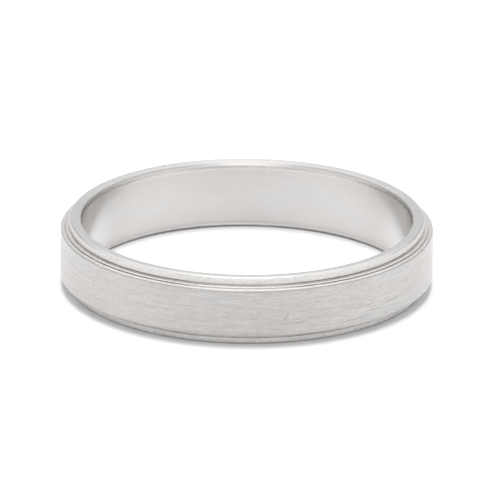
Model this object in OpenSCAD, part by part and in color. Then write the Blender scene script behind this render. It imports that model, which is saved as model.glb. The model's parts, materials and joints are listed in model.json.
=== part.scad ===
// Step-edge wedding band: one seamless ring of white precious metal, turned all
// round from a single blank, with a raised centre between two narrow rims. A small
// rounded step runs between each rim and the shoulder of the raised centre.
// The ring lies flat on one rim. Its axis is +Z, and the origin is the centre of
// the ring on the surface that it lies on. All sizes are in millimetres.

/* [Finger hole] */
// Inside diameter, which sets the finger size
inside_d = 18.8; // [14:0.1:24]
// Reach of the comfort rounding at each end of the finger hole, out over the rim
hole_edge_out = 0.16; // [0.05:0.01:0.3]
// Reach of the same rounding down the wall of the finger hole
hole_edge_down = 0.38; // [0.1:0.01:0.48]

/* [Band] */
// Width of the band, measured along the finger
band_w = 4; // [3:0.1:10]
// Thickness of the wall at the raised centre
wall_t = 1.26; // [1.25:0.01:2.5]

/* [Rims] */
// How far the outside of each rim is set in from the raised centre
rim_set_in = 0.5; // [0.5:0.01:0.6]
// How far each rim stands out sideways beyond the small step beside it
rim_h = 0.48; // [0.2:0.01:0.8]
// How much narrower each rim is at its top than at its foot
rim_draft = 0.03; // [0:0.01:0.05]
// Radius of the rounded outer edge of each rim
rim_edge_r = 0.12; // [0.02:0.01:0.15]

/* [Rounded step and shoulder] */
// Width of the small rounded step beside each rim
step_w = 0.24; // [0.2:0.01:0.26]
// Radius that the top of the small step is turned to
step_r = 0.4; // [0.35:0.01:1]
// Radius of the fillet where a rim meets the small step
step_fillet_r = 0.04; // [0.01:0.01:0.06]
// Depth of the sharp drop from the small step to the shoulder
step_drop = 0.04; // [0.02:0.01:0.08]
// Radius of the shoulder that rounds into the raised centre
shoulder_r = 0.15; // [0.05:0.01:0.2]

/* [Hidden] */

// Facets of the turned surfaces, and straight stretches in each quarter rounding
around = 360;
arc_steps = 8;

// Radii of the turned surfaces
hole_r = inside_d / 2;
outer_r = hole_r + wall_t;
rim_foot_r = outer_r - rim_set_in;
rim_top_r = rim_foot_r - rim_draft;
step_start_r = rim_foot_r + step_fillet_r;
step_end_r = rim_foot_r + step_w;

// Heights above the middle plane of the band
half_w = band_w / 2;
step_z = half_w - rim_h;

// The top of the small step starts level and falls away as an arc
step_turn = asin((step_end_r - step_start_r) / step_r);
step_fall = step_r * (1 - cos(step_turn));
shoulder_z = step_z - step_fall - step_drop;

// Points [r, z] on an arc about the centre c, from the angle a0 to the angle a1. Its
// reach is [out, up], which are the same for a round arc. The first point is left
// out with first = 1, where it repeats the one before it
function arc(c, reach, a0, a1, first = 0) = [
    for (i = [first : arc_steps])
        let (a = a0 + (a1 - a0) * i / arc_steps)
            c + [reach[0] * cos(a), reach[1] * sin(a)]
];

// The same for a round arc of the radius r
function round_arc(c, r, a0, a1, first = 0) = arc(c, [r, r], a0, a1, first);

// The upper half of the cross-section, from the raised centre round to the finger hole
upper_half = concat(
    round_arc([outer_r - shoulder_r, shoulder_z - shoulder_r], shoulder_r, 0, 90),
    [[step_end_r, shoulder_z]],
    round_arc([step_start_r, step_z - step_r], step_r, 90 - step_turn, 90),
    round_arc([step_start_r, step_z + step_fillet_r], step_fillet_r, 270, 180, 1),
    round_arc([rim_top_r - rim_edge_r, half_w - rim_edge_r], rim_edge_r, 0, 90),
    arc(
        [hole_r + hole_edge_out, half_w - hole_edge_down],
        [hole_edge_out, hole_edge_down],
        90,
        180
    )
);

// The lower half is the same, seen in a mirror at the middle plane
last_point = len(upper_half) - 1;
lower_half = [
    for (i = [last_point : -1 : 0])
        [upper_half[i][0], -upper_half[i][1]]
];

// The whole ring is one piece of metal, so it is one solid of revolution
module band() {
    color("gainsboro")
        translate([0, 0, half_w])
            rotate_extrude($fn = around)
                polygon(concat(upper_half, lower_half));
}

band();
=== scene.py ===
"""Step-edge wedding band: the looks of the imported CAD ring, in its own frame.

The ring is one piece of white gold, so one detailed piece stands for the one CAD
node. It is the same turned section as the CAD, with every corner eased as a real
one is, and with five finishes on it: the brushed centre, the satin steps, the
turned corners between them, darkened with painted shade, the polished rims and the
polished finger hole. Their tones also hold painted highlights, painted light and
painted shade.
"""

import json
import math
import random

import bpy
from mathutils import Matrix, Vector


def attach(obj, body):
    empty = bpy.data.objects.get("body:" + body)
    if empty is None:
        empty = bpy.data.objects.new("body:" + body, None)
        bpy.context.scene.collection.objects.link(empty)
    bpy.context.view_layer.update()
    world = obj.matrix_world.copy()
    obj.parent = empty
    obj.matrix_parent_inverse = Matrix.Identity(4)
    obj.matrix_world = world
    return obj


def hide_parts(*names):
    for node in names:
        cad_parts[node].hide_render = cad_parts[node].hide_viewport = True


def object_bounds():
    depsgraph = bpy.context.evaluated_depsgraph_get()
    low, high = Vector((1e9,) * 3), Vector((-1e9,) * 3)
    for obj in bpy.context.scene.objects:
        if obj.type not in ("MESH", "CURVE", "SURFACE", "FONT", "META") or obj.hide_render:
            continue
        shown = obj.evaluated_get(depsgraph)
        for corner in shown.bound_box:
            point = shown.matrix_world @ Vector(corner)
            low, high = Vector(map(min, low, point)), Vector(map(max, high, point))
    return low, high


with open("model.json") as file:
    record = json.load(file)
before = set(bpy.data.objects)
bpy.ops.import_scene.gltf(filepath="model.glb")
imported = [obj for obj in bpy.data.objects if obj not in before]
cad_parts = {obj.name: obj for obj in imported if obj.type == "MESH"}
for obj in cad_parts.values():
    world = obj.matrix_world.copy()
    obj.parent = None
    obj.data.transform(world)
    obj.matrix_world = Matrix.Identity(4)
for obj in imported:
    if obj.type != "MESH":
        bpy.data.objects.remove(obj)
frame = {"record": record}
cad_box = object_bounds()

MM = 0.001
MICRON = 0.000001

# ---------------------------------------------------------------- driving sizes
low, high = cad_box
MOUNTS = {m["name"]: m for m in frame["record"]["mounts"]}

OUTER_R = (high[0] - low[0]) / 2
HALF_W = (high[2] - low[2]) / 2
HOLE_R = MOUNTS["finger_hole"]["dims"]["r_mm"] * MM

# The steps, as in the CAD section
RIM_SET_IN = 0.50 * MM
RIM_H = 0.48 * MM
RIM_DRAFT = 0.03 * MM
RIM_EDGE_R = 0.12 * MM
STEP_W = 0.24 * MM
STEP_R = 0.40 * MM
STEP_FILLET_R = 0.04 * MM
STEP_DROP = 0.04 * MM
SHOULDER_R = 0.15 * MM
# The rim top is crowned: it slopes down this much towards the finger hole
RIM_SLOPE = math.radians(5)
# Reach of the comfort rounding of the finger hole, out over the rim and down the wall
HOLE_EDGE_OUT = 0.16 * MM
HOLE_EDGE_DOWN = 0.38 * MM
# Radius of the easing on each corner that the CAD leaves sharp
EASE_R = 0.012 * MM

# How finely the section is turned: steps round the ring, and in a quarter arc
AROUND = 480
ARC_STEPS = 8
# Distance from the end of a straight stretch to the loop that keeps it flat
HOLD = 0.004 * MM
# The fillet at the foot of a rim is this much smaller than the CAD's, so that its
# end stays clear of the rounded step beside it
FILLET_SHARE = 0.98
# Share of the rounding into the finger hole that has the finish of the rim
RIM_SHARE = 0.65

RIM_FOOT_R = OUTER_R - RIM_SET_IN
RIM_TOP_R = RIM_FOOT_R - RIM_DRAFT
STEP_START_R = RIM_FOOT_R + STEP_FILLET_R
STEP_END_R = RIM_FOOT_R + STEP_W
STEP_Z = HALF_W - RIM_H
STEP_TURN = math.asin((STEP_END_R - STEP_START_R) / STEP_R)
STEP_END_Z = STEP_Z - STEP_R * (1 - math.cos(STEP_TURN))
SHOULDER_Z = STEP_END_Z - STEP_DROP
# Width of the band of painted shade in the corner at the foot of each rim, and below the step
CORNER_H = 0.075 * MM
CORNER_W = 0.025 * MM

CENTRE, STEPS, CORNER, RIM, HOLE_WALL = range(5)


# ---------------------------------------------------------------- the section
def corner(before, at, after, radius, steps=ARC_STEPS):
    """The points of a round corner of that radius where two straight lines meet."""
    a = (before - at).normalized()
    b = (after - at).normalized()
    half = math.acos(max(-1.0, min(1.0, a.dot(b)))) / 2
    reach = radius / math.tan(half)
    centre = at + (a + b).normalized() * (radius / math.sin(half))
    start = at + a * reach - centre
    end = at + b * reach - centre
    sweep = start.angle_signed(end)
    points = []
    for i in range(steps + 1):
        turn = -sweep * i / steps
        c, s = math.cos(turn), math.sin(turn)
        points.append(centre + Vector((c * start.x - s * start.y, s * start.x + c * start.y)))
    return points


def step_top(turn):
    """The place on the top of the small step where it has turned away that far."""
    fall = STEP_R * (1 - math.cos(turn))
    return Vector((STEP_START_R + STEP_R * math.sin(turn), STEP_Z - fall))


def hole_edge():
    """The rounding from the sloping rim top into the finger hole, as places that
    need no easing."""
    start = math.atan(math.tan(RIM_SLOPE) * HOLE_EDGE_OUT / HOLE_EDGE_DOWN)
    first_r = HOLE_R + HOLE_EDGE_OUT * (1 - math.sin(start))
    fall = (RIM_TOP_R - RIM_EDGE_R - first_r) * math.tan(RIM_SLOPE)
    points = []
    steps = 2 * ARC_STEPS
    for i in range(steps + 1):
        t = start + (math.pi / 2 - start) * i / steps
        place = Vector((HOLE_R + HOLE_EDGE_OUT * (1 - math.sin(t)),
                        HALF_W - fall - HOLE_EDGE_DOWN * (math.cos(start) - math.cos(t))))
        points.append((place, 0, RIM if i < RIM_SHARE * steps else HOLE_WALL))
    return points


def upper_section():
    """Corners of the section from the middle of the brushed centre round to the
    middle of the finger hole: place (r, z), easing radius, finish of the stretch
    that follows."""
    slope = RIM_DRAFT / RIM_H
    corners = [
        (Vector((OUTER_R, 0)), 0, CENTRE),
        (Vector((OUTER_R, SHOULDER_Z)), SHOULDER_R, STEPS),
        (Vector((STEP_END_R + CORNER_W, SHOULDER_Z)), 0, CORNER),
        (Vector((STEP_END_R, SHOULDER_Z)), EASE_R, CORNER),
        (Vector((STEP_END_R, STEP_END_Z)), EASE_R, STEPS),
    ]
    for i in range(ARC_STEPS - 1, 0, -1):
        corners.append((step_top(STEP_TURN * i / ARC_STEPS), 0, STEPS))
    return corners + [
        (Vector((RIM_FOOT_R, STEP_Z)), STEP_FILLET_R * FILLET_SHARE, CORNER),
        (Vector((RIM_FOOT_R - slope * CORNER_H, STEP_Z + CORNER_H)), 0, STEPS),
        (Vector((RIM_TOP_R, HALF_W)), RIM_EDGE_R, RIM),
    ] + hole_edge() + [
        (Vector((HOLE_R, 0)), 0, HOLE_WALL),
    ]


def turned_section():
    """The upper section with its corners rounded, as (r, z, finish) points."""
    corners = upper_section()
    points = []
    for i, (at, radius, finish) in enumerate(corners):
        if radius:
            before, after = corners[i - 1], corners[i + 1]
            rounded = corner(before[0], at, after[0], radius)
            in_dir = (before[0] - at).normalized()
            out_dir = (after[0] - at).normalized()
            points.append((rounded[0] + in_dir * HOLD, before[2]))
            # The finish changes half-way round, and a third of the way at the shoulder
            change = len(rounded) // (3 if before[2] == CENTRE else 2)
            points += [(p, before[2] if k < change else finish) for k, p in enumerate(rounded)]
            points.append((rounded[-1] + out_dir * HOLD, finish))
        else:
            points.append((at, finish))
    return points


def full_section():
    """The closed section as (r, z, finish), with z from the surface that the ring
    lies on. Its lower half is the upper one in a mirror."""
    upper = turned_section()
    lower = []
    for i in range(len(upper) - 2, 0, -1):
        place = upper[i][0]
        lower.append((Vector((place.x, -place.y)), upper[i - 1][1]))
    whole = upper + lower
    return [(p.x, p.y + HALF_W, finish) for p, finish in whole]


def turned_ring(name, finishes):
    """The section turned all round, as one closed mesh."""
    section = full_section()
    count = len(section)
    verts = []
    for i in range(AROUND):
        angle = 2 * math.pi * i / AROUND
        c, s = math.cos(angle), math.sin(angle)
        verts += [(r * c, r * s, low[2] + z) for r, z, finish in section]
    faces = []
    slots = []
    for i in range(AROUND):
        a = i * count
        b = (i + 1) % AROUND * count
        for j in range(count):
            k = (j + 1) % count
            faces.append((a + j, b + j, b + k, a + k))
            slots.append(section[j][2])
    mesh = bpy.data.meshes.new(name)
    mesh.from_pydata(verts, [], faces)
    for finish in finishes:
        mesh.materials.append(finish)
    mesh.polygons.foreach_set("material_index", slots)
    mesh.shade_smooth()
    mesh.validate()
    piece = bpy.data.objects.new(name, mesh)
    bpy.context.scene.collection.objects.link(piece)
    return piece


# ---------------------------------------------------------------- materials
class Tree:
    """A node tree. Its values are numbers or the outputs of other nodes."""

    def __init__(self, tree):
        self.nodes = tree.nodes
        self.links = tree.links

    def feed(self, socket, value):
        if isinstance(value, bpy.types.NodeSocket):
            self.links.new(value, socket)
        else:
            socket.default_value = value

    def math(self, operation, *values):
        node = self.nodes.new("ShaderNodeMath")
        node.operation = operation
        for socket, value in zip(node.inputs, values):
            self.feed(socket, value)
        return node.outputs[0]

    def add(self, *values):
        total = values[0]
        for value in values[1:]:
            total = self.math("ADD", total, value)
        return total

    def mix(self, *terms):
        """The sum of values, each times its share."""
        return self.add(*(self.math("MULTIPLY", value, share) for value, share in terms))

    def both(self, a, b):
        """1 where both values are 1, and 0 where either is 0."""
        return self.math("MULTIPLY", a, b)

    def step(self, value, start, end, first=0.0, last=1.0):
        """The first level where the value is at start or beyond, the last level at end
        or beyond, and smooth between."""
        node = self.nodes.new("ShaderNodeMapRange")
        node.interpolation_type = "SMOOTHSTEP"
        levels = {"From Min": start, "From Max": end, "To Min": first, "To Max": last}
        for name, level in levels.items():
            node.inputs[name].default_value = level
        self.feed(node.inputs["Value"], value)
        return node.outputs["Result"]

    def fade(self, share, level):
        """1 where the share is 0, and the level where it is 1."""
        return self.math("MULTIPLY_ADD", share, self.math("SUBTRACT", level, 1.0), 1.0)


# Keeps the marks of the upper and the lower side of the section apart, in millimetres
SIDES_APART = 3.0
# How far each seed moves the marks, along the three axes of the noise
SEED_SHIFT = (17.3, 5.9, 11.7)
# Turns the stretch of the highlights so that the brushing runs round the ring
ROUND_THE_RING = 0.25

# Stretches of the ring where a tone sets in, as distances from the front in
# millimetres: where it starts and where it is full. The sides lie at 16.7 and the
# very back at 33.5. Most of these tones aren't in the metal: they are painted light
# and painted shade, standing in for light and reflections that the lights below don't give.
# Painted shade on the brushed centre: darker towards the front, and more so in the middle
BARREL_FRONT_SHADE = (9.0, 3.0)
MIDDLE = (2.8, 1.0)
# Painted highlights on the outer edges of the steps and the rim, towards the front
FRONT_THIRD = (13.0, 7.0)
# Painted light on the dark corners: lighter near the front and towards the sides
CORNER_FRONT_LIGHT = (4.2, 2.2)
CORNER_ENDS = (13.0, 16.5)
# On the rim top: painted light on the inside edge towards the back, painted shade on the back
# quarters
RIM_BACK = (17.0, 27.0)
BACK_QUARTER_FROM = (20.0, 24.0)
BACK_QUARTER_TO = (32.5, 28.5)
# In the finger hole: painted light at the back, on the sides and at the two ends
HOLE_BACK = (20.0, 27.0)
HOLE_SIDES = (34.0, 25.0)
HOLE_ENDS_FROM = (10.0, 15.0)
HOLE_ENDS_TO = (24.0, 19.0)


class Finish(Tree):
    """The node tree of one metal finish. Its working coordinates are in millimetres:
    radius, height above the middle plane, and distance round the outside of the ring
    from the front, with and without its sign."""

    def __init__(self, name):
        self.material = bpy.data.materials.new(name)
        self.material.use_nodes = True
        super().__init__(self.material.node_tree)
        self.shader = self.nodes["Principled BSDF"]
        self.shader.inputs["Metallic"].default_value = 1.0
        place = self.nodes.new("ShaderNodeTexCoord").outputs["Object"]
        split = self.nodes.new("ShaderNodeSeparateXYZ")
        self.links.new(place, split.inputs[0])
        x, y, z = (self.math("DIVIDE", split.outputs[axis], MM) for axis in "XYZ")
        self.height = self.math("SUBTRACT", z, (low[2] + HALF_W) / MM)
        squares = self.math("ADD", self.math("MULTIPLY", x, x), self.math("MULTIPLY", y, y))
        self.radius = self.math("SQRT", squares)
        self.cos = self.math("DIVIDE", x, self.radius)
        self.sin = self.math("DIVIDE", y, self.radius)
        turn = self.math("ARCTAN2", self.cos, self.math("MULTIPLY", self.sin, -1.0))
        self.round = self.math("MULTIPLY", turn, OUTER_R / MM)
        self.from_front = self.math("ABSOLUTE", self.round)

    def along(self, span):
        """0 at the first distance from the front in the span, and 1 at the second."""
        return self.step(self.from_front, *span)

    def over_section(self, operation):
        """The height above or below the middle plane, with the radius added or taken
        off, so that it changes along upright and level faces alike. Then the same with
        the lower side kept apart from the upper one."""
        line = self.math(operation, self.math("ABSOLUTE", self.height), self.radius)
        side = self.math("SIGN", self.height)
        return line, self.math("MULTIPLY_ADD", side, SIDES_APART, line)

    def noise(self, along, across, line, seed, detail=1.0):
        """Marks of about that length along the turning and that width across it, in
        millimetres, as a value that swings about 0. The line coordinate is the
        distance over the section, and the marks close up round the ring."""
        vector = self.nodes.new("ShaderNodeCombineXYZ")
        turns = OUTER_R / MM / along
        scaled = ((self.cos, turns), (self.sin, turns), (line, 1 / across))
        for socket, (value, scale), shift in zip(vector.inputs, scaled, SEED_SHIFT):
            self.feed(socket, self.math("MULTIPLY_ADD", value, scale, seed * shift))
        node = self.nodes.new("ShaderNodeTexNoise")
        node.inputs["Scale"].default_value = 1.0
        node.inputs["Detail"].default_value = detail
        node.inputs["Roughness"].default_value = 0.5
        self.links.new(vector.outputs[0], node.inputs["Vector"])
        return self.math("MULTIPLY_ADD", node.outputs[0], 2.0, -1.0)

    def scratch(self, at, height, tilt, length, width):
        """1 on one straight scratch of the barrel, 0 away from it: its middle, its
        tilt from the turning lines in degrees, and its size in millimetres."""
        right = self.math("SUBTRACT", self.round, at)
        up = self.math("SUBTRACT", self.height, height)
        c, s = math.cos(math.radians(tilt)), math.sin(math.radians(tilt))
        lengthwise = self.math("ABSOLUTE", self.mix((right, c), (up, s)))
        crosswise = self.math("ABSOLUTE", self.mix((right, -s), (up, c)))
        return self.both(self.step(lengthwise, length / 2, length / 4),
                         self.step(crosswise, width / 2, 0.0))

    def scratches(self, marks):
        """1 on any of the scratches, and 0 away from them all."""
        total = self.scratch(*marks[0])
        for mark in marks[1:]:
            total = self.math("MAXIMUM", total, self.scratch(*mark))
        return total

    def blend(self, tint, other, share):
        """A tint that passes to the other one as the share goes from 0 to 1."""
        node = self.nodes.new("ShaderNodeVectorMath")
        node.operation = "MULTIPLY_ADD"
        self.links.new(share, node.inputs[0])
        node.inputs[1].default_value = [b - a for a, b in zip(tint, other)]
        node.inputs[2].default_value = tint
        return node.outputs["Vector"]

    def ridge(self, value, at, half):
        """1 where the value is near the ridge, falling to 0 that far from it."""
        away = self.math("ABSOLUTE", self.math("SUBTRACT", value, at))
        return self.step(away, half, half * 0.3)

    def edges(self, line):
        """The three convex edges of the steps, each with its own share: its place on
        the line and its reach to either side are in millimetres."""
        rim_edge = (HALF_W - RIM_TOP_R) / MM - 0.04
        step_edge = (STEP_END_Z - STEP_END_R) / MM + 0.03
        shoulder = (SHOULDER_Z - OUTER_R + SHOULDER_R) / MM - 0.08
        return self.mix((self.ridge(line, rim_edge, 0.09), 0.8),
                        (self.ridge(line, step_edge, 0.07), 0.9),
                        (self.ridge(line, shoulder, 0.13), 0.4))

    def front_above(self):
        """1 on the upper side of the section, towards the front."""
        return self.both(self.step(self.height, -0.1, 0.1), self.along(FRONT_THIRD))

    def finish(self, tone, roughness, anisotropy, relief, tint):
        """tone: share by which the colour is lighter or darker; relief: height in
        microns. Constants go on the shader's own sockets."""
        colour = self.nodes.new("ShaderNodeVectorMath")
        colour.operation = "SCALE"
        self.feed(colour.inputs[0], tint)
        self.feed(colour.inputs["Scale"], self.math("ADD", tone, 1.0))
        self.links.new(colour.outputs["Vector"], self.shader.inputs["Base Color"])
        self.feed(self.shader.inputs["Roughness"], roughness)
        self.shader.inputs["Anisotropic"].default_value = anisotropy
        self.shader.inputs["Anisotropic Rotation"].default_value = ROUND_THE_RING
        bump = self.nodes.new("ShaderNodeBump")
        bump.inputs["Strength"].default_value = 1.0
        bump.inputs["Distance"].default_value = MICRON
        self.feed(bump.inputs["Height"], relief)
        self.links.new(bump.outputs["Normal"], self.shader.inputs["Normal"])
        return self.material


WHITE_GOLD = (0.648, 0.618, 0.611)
HOLE_NEUTRAL = (0.642, 0.634, 0.624)
CLEAN_METAL = (0.648, 0.636, 0.625)
BRUSHED_WARM = (0.545, 0.521, 0.515)
BRUSHED_NEUTRAL = (0.547, 0.539, 0.529)
# Painted shade: the dark tint of the turned corners stands in for the shade in them
CORNER_SHADE_TINT = (0.255, 0.226, 0.212)

# Scratches on the brushed centre: distance to the right of the front, height above
# the middle plane, tilt in degrees, length and width
FRONT_SCRATCHES = [
    (2.31, -0.21, 51, 0.62, 0.10),
    (2.92, 0.38, 70, 0.3, 0.08),
    (4.0, -0.9, 2, 1.1, 0.08),
    (5.2, -0.55, -3, 1.6, 0.08),
    (3.1, -0.62, 4, 1.0, 0.07),
    (6.6, -0.95, 2, 2.4, 0.08),
    (8.3, -0.70, -2, 2.0, 0.07),
    (9.6, -0.45, 2, 1.8, 0.07),
    (7.2, -0.30, 1, 1.6, 0.06),
]
LIGHT_STROKES = [
    (2.62, 0.16, 62, 0.5, 0.07),
    (2.85, 0.12, 60, 0.45, 0.07),
    (2.74, 0.2, -50, 0.4, 0.06),
]
RANDOM_SCRATCHES = 12


def random_scratch():
    """A scratch anywhere but at the front."""
    return (random.uniform(6.5, 33.5) * random.choice((-1, 1)), random.uniform(-1.2, 1.2),
            random.uniform(-60, 60), random.uniform(0.2, 0.7), random.uniform(0.05, 0.09))


def brushed_centre():
    f = Finish("brushed_centre")
    fine = f.noise(0.5, 0.035, f.height, 1, 2.0)
    grain = f.noise(0.11, 0.06, f.height, 17)
    long = f.noise(2.8, 0.06, f.height, 2)
    band = f.noise(9.0, 0.45, f.height, 3)
    cloud = f.noise(1.6, 0.7, f.height, 4, 2.0)
    random.seed(11)
    others = [random_scratch() for _ in range(RANDOM_SCRATCHES)]
    cuts = f.scratches(FRONT_SCRATCHES + others)
    shine = f.scratches(LIGHT_STROKES)
    edge = (SHOULDER_Z - SHOULDER_R) / MM
    # A band along the top and bottom of the centre: smoother, and darker with painted shade
    edge_band_shade = f.step(f.math("ABSOLUTE", f.height), edge - 0.15, edge - 0.02)
    # Painted shade: darker towards the front and darker again in the middle; the front is also warmer
    # in tint
    front_shade = f.along(BARREL_FRONT_SHADE)
    tone = f.mix((fine, 0.26), (grain, 0.14), (long, 0.22), (band, 0.05), (cloud, 0.05),
                 (cuts, -0.32), (shine, 0.18), (edge_band_shade, -0.12),
                 (front_shade, -0.05), (f.along(MIDDLE), -0.05))
    roughness = f.add(0.42, f.mix((long, 0.08), (cloud, 0.06), (cuts, -0.12), (edge_band_shade, -0.12)))
    relief = f.mix((fine, 3.0), (grain, 3.0), (long, 3.0), (band, 6.0), (cloud, 4.0), (cuts, -8.0))
    patches = f.add(f.noise(7.0, 1.6, f.height, 16), f.mix((front_shade, 0.3)))
    warm = f.step(patches, -0.35, 0.35)
    return f.finish(tone, roughness, 0.8, relief, f.blend(BRUSHED_NEUTRAL, BRUSHED_WARM, warm))


def satin_steps():
    f = Finish("satin_steps")
    slant, line = f.over_section("SUBTRACT")
    fine = f.noise(2.5, 0.035, line, 5)
    mottle = f.noise(0.28, 0.08, line, 6, 2.0)
    patch = f.noise(1.6, 0.4, line, 7)
    specks = f.step(f.noise(0.22, 0.10, line, 19, 2.0), 0.22, 0.4)
    # Painted highlights on the step edges towards the front
    step_edge_highlight = f.both(f.edges(slant), f.front_above())
    # Painted light on the outside of the lower rim, and a line of painted shade along its foot
    foot = -STEP_Z / MM
    lower = f.step(f.height, foot + 0.07, foot - 0.03)
    foot_line_shade = f.ridge(f.height, foot - CORNER_H / MM, 0.075)
    tone = f.add(0.04, f.mix((fine, 0.08), (mottle, 0.26), (patch, 0.10), (step_edge_highlight, 0.30),
                             (lower, 0.08), (foot_line_shade, -0.6), (specks, -0.22)))
    roughness = f.add(0.44, f.mix((mottle, 0.16), (patch, 0.08), (step_edge_highlight, -0.16)))
    relief = f.mix((fine, 1.2), (mottle, 5.0), (patch, 6.0))
    return f.finish(tone, roughness, 0.5, relief, CLEAN_METAL)


def painted_corner_shade():
    f = Finish("painted_corner_shade")
    # The dark tint is painted shade in the corners, with mottle in it
    line = f.over_section("SUBTRACT")[1]
    corner_mottle = f.noise(0.3, 0.2, line, 8, 2.0)
    patch = f.noise(1.4, 0.6, line, 9)
    # Painted light: the corner shade is lighter on a stretch a little to the left of the front
    front_corner_light = f.step(f.math("ABSOLUTE", f.add(f.round, 0.3)), *CORNER_FRONT_LIGHT)
    outer = f.step(f.radius, (STEP_END_R - CORNER_H) / MM, STEP_END_R / MM - 0.01)
    # Painted light also lightens the corner shade towards the sides
    tone = f.mix((corner_mottle, 0.5), (patch, 0.4), (front_corner_light, 0.75), (f.along(CORNER_ENDS), 0.8),
                 (f.both(front_corner_light, outer), 0.7))
    roughness = f.add(0.5, f.mix((corner_mottle, 0.15)))
    return f.finish(tone, roughness, 0.0, f.mix((corner_mottle, 6.0)), CORNER_SHADE_TINT)


def polished_rim():
    f = Finish("polished_rim")
    line = f.over_section("ADD")[1]
    fine = f.noise(3.0, 0.03, line, 10)
    patch = f.noise(2.0, 0.3, line, 11)
    nicks = f.step(f.noise(0.18, 0.5, line, 12, 2.0), 0.28, 0.5)
    # Painted highlight on the outer edge towards the front, painted light on the inside edge towards
    # the back, and painted shade on the back quarters
    outside = f.step(f.radius, (RIM_TOP_R - RIM_EDGE_R) / MM, (RIM_TOP_R - 0.5 * RIM_EDGE_R) / MM)
    edge = f.both(outside, f.front_above())
    inside = f.step(f.radius, HOLE_R / MM + 0.08, HOLE_R / MM + 0.03)
    back_inner_edge_light = f.both(inside, f.along(RIM_BACK))
    back_quarter_shade = f.both(f.along(BACK_QUARTER_FROM), f.along(BACK_QUARTER_TO))
    tone = f.mix((fine, 0.05), (patch, 0.04), (nicks, -0.15), (edge, 0.15), (back_inner_edge_light, 0.25),
                 (back_quarter_shade, -0.12))
    roughness = f.add(0.27, f.mix((fine, 0.05), (patch, 0.06), (nicks, 0.1)))
    relief = f.mix((fine, 0.8), (patch, 3.0), (nicks, -3.0))
    return f.finish(tone, roughness, 0.9, relief, CLEAN_METAL)


def polished_hole():
    f = Finish("polished_hole")
    fine = f.noise(2.5, 0.05, f.height, 13)
    cloud = f.noise(3.0, 2.4, f.height, 14, 2.0)
    peel = f.noise(0.6, 0.5, f.height, 15)
    # Painted light on the two ends of the straight wall at the back, on the sides and at the two ends
    # of the hole
    wall_end = (HALF_W - HOLE_EDGE_DOWN) / MM
    back = f.along(HOLE_BACK)
    edge = f.both(f.step(f.height, wall_end - 0.12, wall_end + 0.05), back)
    foot = f.both(f.step(f.height, -wall_end - 0.06, -wall_end - 0.16), back)
    hole_ends_light = f.both(f.along(HOLE_ENDS_TO), f.along(HOLE_ENDS_FROM))
    painted_hole_light = f.mix((f.along(HOLE_SIDES), 0.09), (hole_ends_light, 0.30), (edge, 0.27), (foot, 0.6))
    tone = f.add(-0.22, painted_hole_light, f.mix((fine, 0.03), (cloud, 0.06), (peel, 0.02)))
    roughness = f.add(0.24, f.mix((cloud, 0.06), (fine, 0.03), (edge, 0.08)))
    relief = f.mix((fine, 0.5), (cloud, 12.0), (peel, 2.0))
    patches = f.add(f.noise(5.0, 1.6, f.height, 18, 2.0), f.mix((hole_ends_light, -0.8)))
    warm = f.step(patches, -0.45, 0.25)
    return f.finish(tone, roughness, 0.4, relief, f.blend(HOLE_NEUTRAL, WHITE_GOLD, warm))


finishes = [brushed_centre(), satin_steps(), painted_corner_shade(), polished_rim(), polished_hole()]

band = turned_ring("band_metal", finishes)
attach(band, "root")
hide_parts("band")


# ---------------------------------------------------------------- floor
# Half the width of the table, in metres, and its grey
FLOOR_REACH = 0.6
FLOOR_GREY = 0.8


def floor():
    reach, z = FLOOR_REACH, low[2]
    mesh = bpy.data.meshes.new("floor")
    mesh.from_pydata([(-reach, -reach, z), (reach, -reach, z), (reach, reach, z), (-reach, reach, z)],
                     [], [(0, 1, 2, 3)])
    plane = bpy.data.objects.new("floor", mesh)
    bpy.context.scene.collection.objects.link(plane)
    material = bpy.data.materials.new("white_floor")
    material.use_nodes = True
    shader = material.node_tree.nodes["Principled BSDF"]
    shader.inputs["Base Color"].default_value = (FLOOR_GREY, FLOOR_GREY, FLOOR_GREY, 1)
    shader.inputs["Roughness"].default_value = 0.9
    shader.inputs["Specular IOR Level"].default_value = 0.0
    mesh.materials.append(material)
    return plane


floor()


# ---------------------------------------------------------------- light
# Brightness of the tent's side walls, and of the broad band of light that runs
# over the top from back to front
SIDE_LIGHT = 0.93
BAND_LIGHT = 1.44
# What that light is multiplied by low down in front, low down at the back, and
# higher up at the back
FRONT_SHARE = 0.3
BACK_SHARE = 0.6
BACK_TOP_SHARE = 1.12
# The soft lamp over the table: how far it leans back from straight above and how
# large it looks, both in degrees, and its strength
LAMP_LEAN = 7
LAMP_SIZE = 22
LAMP_POWER = 2.3


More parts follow.
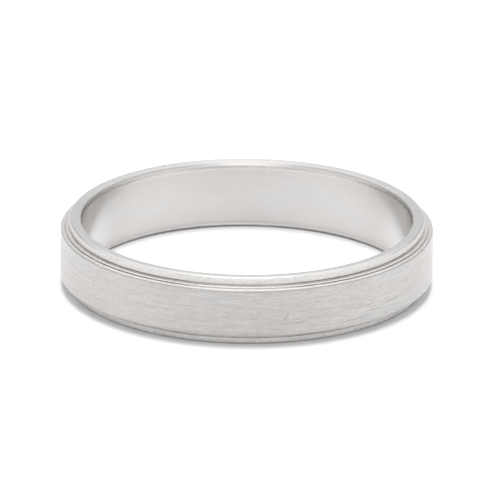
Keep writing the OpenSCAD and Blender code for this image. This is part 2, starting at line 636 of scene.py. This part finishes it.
def tent():
    """A white tent with a broad band of soft light over the top, back to front. Its
    brightness goes by direction: x to the right, y to the back and z up, up to 1."""
    world = bpy.data.worlds.new("tent")
    bpy.context.scene.world = world
    world.use_nodes = True
    t = Tree(world.node_tree)
    split = t.nodes.new("ShaderNodeSeparateXYZ")
    t.links.new(t.nodes.new("ShaderNodeTexCoord").outputs["Generated"], split.inputs[0])
    x, y, z = (split.outputs[axis] for axis in "XYZ")
    band_light = t.step(t.math("ABSOLUTE", x), 0.60, 0.06, SIDE_LIGHT, BAND_LIGHT)
    front = t.fade(t.step(y, -0.6, -1.0), t.step(z, 0.1, 0.3, FRONT_SHARE, 1.0))
    back = t.fade(t.step(y, 0.0, 0.5), t.step(z, 0.45, 0.51, BACK_SHARE, BACK_TOP_SHARE))
    strength = t.math("MULTIPLY", t.math("MULTIPLY", band_light, front), back)
    background = t.nodes["Background"]
    t.links.new(strength, background.inputs["Strength"])
    background.inputs["Color"].default_value = (1, 1, 1, 1)


def table_lamp():
    """A soft lamp that lights only dull surfaces: the table, and not the metal."""
    data = bpy.data.lights.new("table_lamp", "SUN")
    data.energy = LAMP_POWER
    data.angle = math.radians(LAMP_SIZE)
    lamp = bpy.data.objects.new("table_lamp", data)
    lamp.rotation_euler = (math.radians(-LAMP_LEAN), 0, 0)
    lamp.visible_glossy = False
    bpy.context.scene.collection.objects.link(lamp)


tent()
table_lamp()
bpy.context.scene.view_settings.view_transform = "Standard"


# ---------------------------------------------------------------- camera
# Its place in outer radii of the ring, its tilt down and its roll in radians, and its
# lens and film in millimetres
CAMERA_PLACE = (-0.0360, -56.3548, 20.6006)
CAMERA_PITCH = 0.346663
CAMERA_ROLL = 0.0079159
LENS = 837.71
FILM_WIDTH = 36


def camera():
    data = bpy.data.cameras.new("camera")
    data.sensor_width = FILM_WIDTH
    data.lens = LENS
    data.clip_start = 0.01
    cam = bpy.data.objects.new("camera", data)
    bpy.context.scene.collection.objects.link(cam)
    right = Vector((1, 0, 0))
    up = Vector((0, math.sin(CAMERA_PITCH), math.cos(CAMERA_PITCH)))
    forward = Vector((0, math.cos(CAMERA_PITCH), -math.sin(CAMERA_PITCH)))
    c, s = math.cos(CAMERA_ROLL), math.sin(CAMERA_ROLL)
    x_axis = right * c + up * s
    y_axis = up * c - right * s
    place = Vector(CAMERA_PLACE) * OUTER_R
    cam.matrix_world = Matrix((
        (x_axis.x, y_axis.x, -forward.x, place.x),
        (x_axis.y, y_axis.y, -forward.y, place.y),
        (x_axis.z, y_axis.z, -forward.z, place.z),
        (0, 0, 0, 1),
    ))
    return cam


bpy.context.scene.camera = camera()
